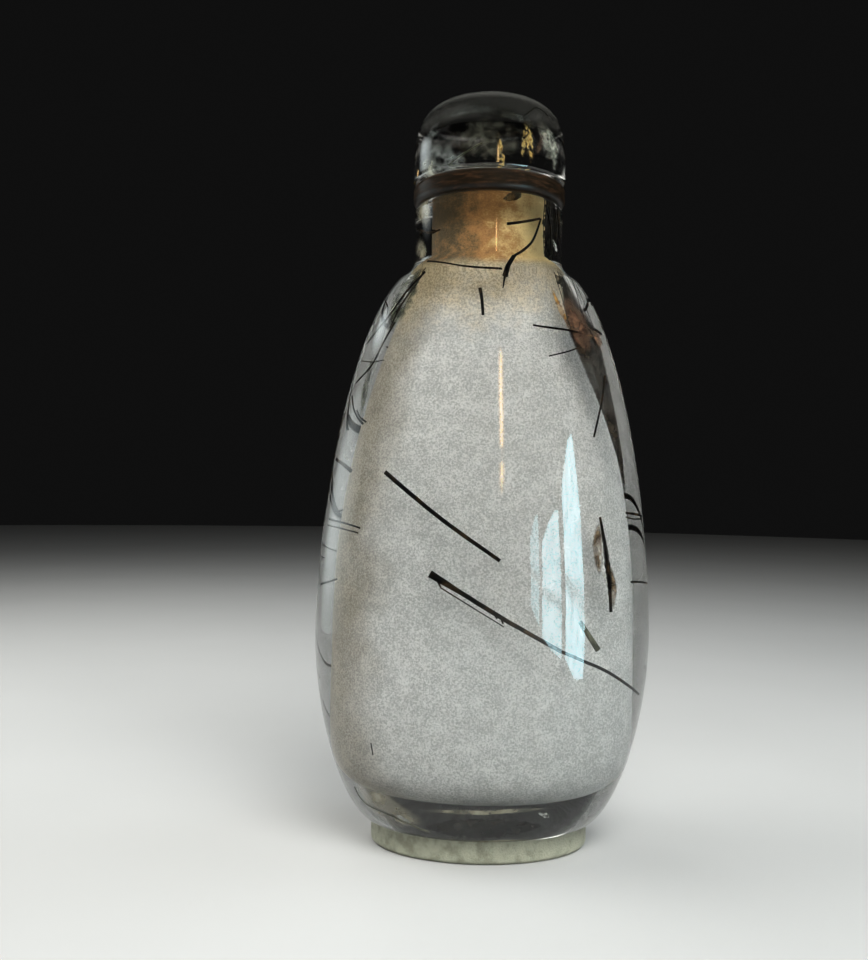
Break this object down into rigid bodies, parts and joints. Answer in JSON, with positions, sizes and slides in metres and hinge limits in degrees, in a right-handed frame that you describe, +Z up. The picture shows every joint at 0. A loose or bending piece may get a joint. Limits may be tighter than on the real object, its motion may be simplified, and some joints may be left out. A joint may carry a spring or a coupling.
{
  "type": "snuff bottle",
  "caption": "Flattened pear-shaped rock crystal snuff bottle with dark needle inclusions, a frosted hollow, an oval foot, and a corked stopper with a dark collar and a domed crystal cap.",
  "frame": {"origin": "centre of the foot ring's underside, on the surface that the bottle stands on", "axes": "+Z up along the flask's axis; the broad face of the picture looks along -Y, with +X to its right"},
  "size_m": [0.0298, 0.0204, 0.066],
  "materials": {
    "rock_crystal": "polished outside, ground and frosted in the hollow, clear with dark needles",
    "dark_horn": "polished dark brown horn",
    "cork": "plain cork, tan, amber where it shows through the neck"
  },
  "bodies": {
    "root": {"crystal_flask": "rock_crystal", "stopper_cap": "rock_crystal", "stopper_collar": "dark_horn", "stopper_cork": "cork"}
  },
  "joints": []
}
